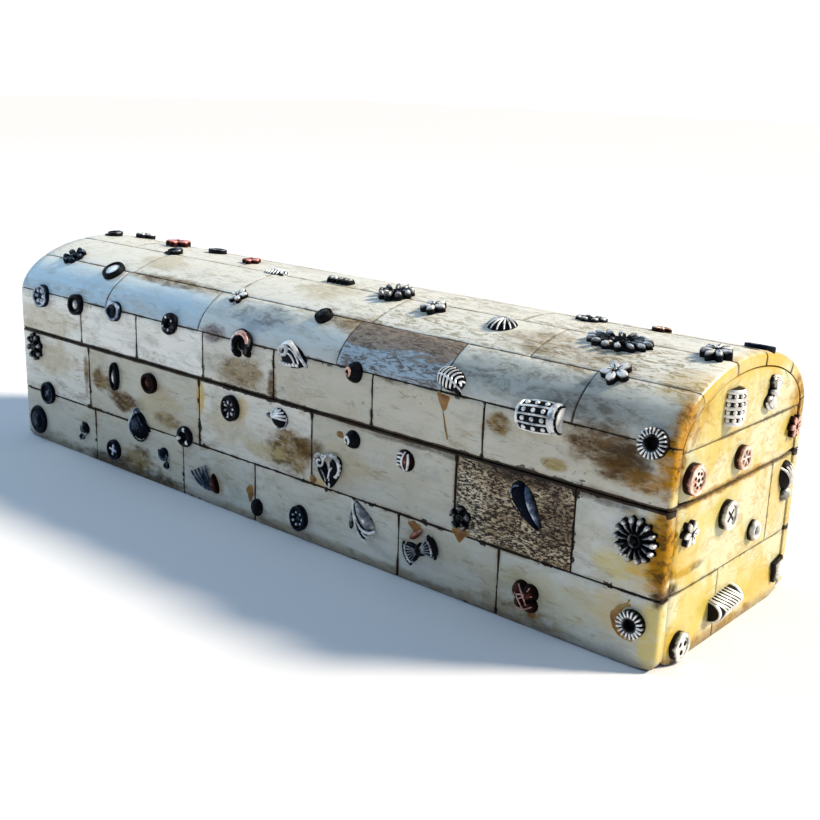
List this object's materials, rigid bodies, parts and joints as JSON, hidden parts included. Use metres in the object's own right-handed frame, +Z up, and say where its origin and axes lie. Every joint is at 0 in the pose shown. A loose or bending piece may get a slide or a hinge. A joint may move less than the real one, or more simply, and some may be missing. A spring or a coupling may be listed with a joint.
{
  "type": "bone inlay trinket box",
  "caption": "Long, narrow trinket box with a vaulted lift-off lid, faced with polished bone plaques and set with small antiqued metal studs.",
  "frame": {"origin": "on the surface that the box stands on, below its middle", "axes": "+X along the box towards its right end, -Y out of its front, +Z up"},
  "size_m": [0.2378, 0.0686, 0.0645],
  "materials": {
    "wood": "dark, plain sawn wood, bare inside",
    "bone": "polished bone, cream to brown, with pores, long grain and amber stains",
    "silver": "antiqued silver-coloured castings, dark in the recesses and bright on the high points",
    "copper": "coppery castings, dark in the recesses"
  },
  "bodies": {
    "root": {"tray_carcass": "wood", "lid_carcass": "wood", "tray_front_plaques": "bone", "tray_back_plaques": "bone", "tray_left_plaques": "bone", "tray_right_plaques": "bone", "lid_front_plaques": "bone", "crown_plaques": "bone", "lid_back_plaques": "bone", "lid_left_plaques": "bone", "lid_right_plaques": "bone", "stud_front_ridged_rosette": "silver", "stud_front_disc": "silver", "stud_front_long_oval": "silver", "stud_front_copper_oval": "copper", "stud_front_fan_shell": "silver", "stud_front_small_flower": "silver", "stud_front_coin": "silver", "stud_front_ribbed_shell": "silver", "stud_front_heart_leaves": "silver", "stud_front_teardrop": "silver", "stud_front_large_rosette": "silver", "stud_front_corner_dome": "silver", "stud_front_comma_leaf": "silver", "stud_front_low_disc": "silver", "stud_front_feather": "silver", "stud_front_saddle": "silver", "stud_front_bow_tie": "silver", "stud_front_knot": "copper", "stud_front_low_rosette": "silver", "stud_lid_left_flower": "silver", "stud_lid_ring_disc": "silver", "stud_lid_dome": "silver", "stud_lid_small_flower": "silver", "stud_lid_copper_horseshoe": "copper", "stud_lid_snail": "silver", "stud_lid_copper_bead": "copper", "stud_lid_veined_leaf": "silver", "stud_lid_barrel_bead": "silver", "stud_lid_gear_ring": "silver", "stud_vault_scalloped": "silver", "stud_vault_ring": "silver", "stud_vault_five_petals": "silver", "stud_vault_dome": "silver", "stud_vault_right_flower": "silver", "stud_crown_round_flower": "silver", "stud_crown_ribbed_dome": "silver", "stud_crown_oval_rosette": "silver", "stud_crown_right_flower": "silver", "stud_end_button": "silver", "stud_end_copper_wheel": "copper", "stud_end_carved_barrel": "silver", "stud_end_butterfly": "silver", "stud_end_spiked_flower": "silver", "stud_end_cross_coin": "silver", "stud_end_ribbed_drop": "silver", "stud_end_chevron_block": "silver", "stud_end_low_coin": "silver"}
  },
  "joints": []
}
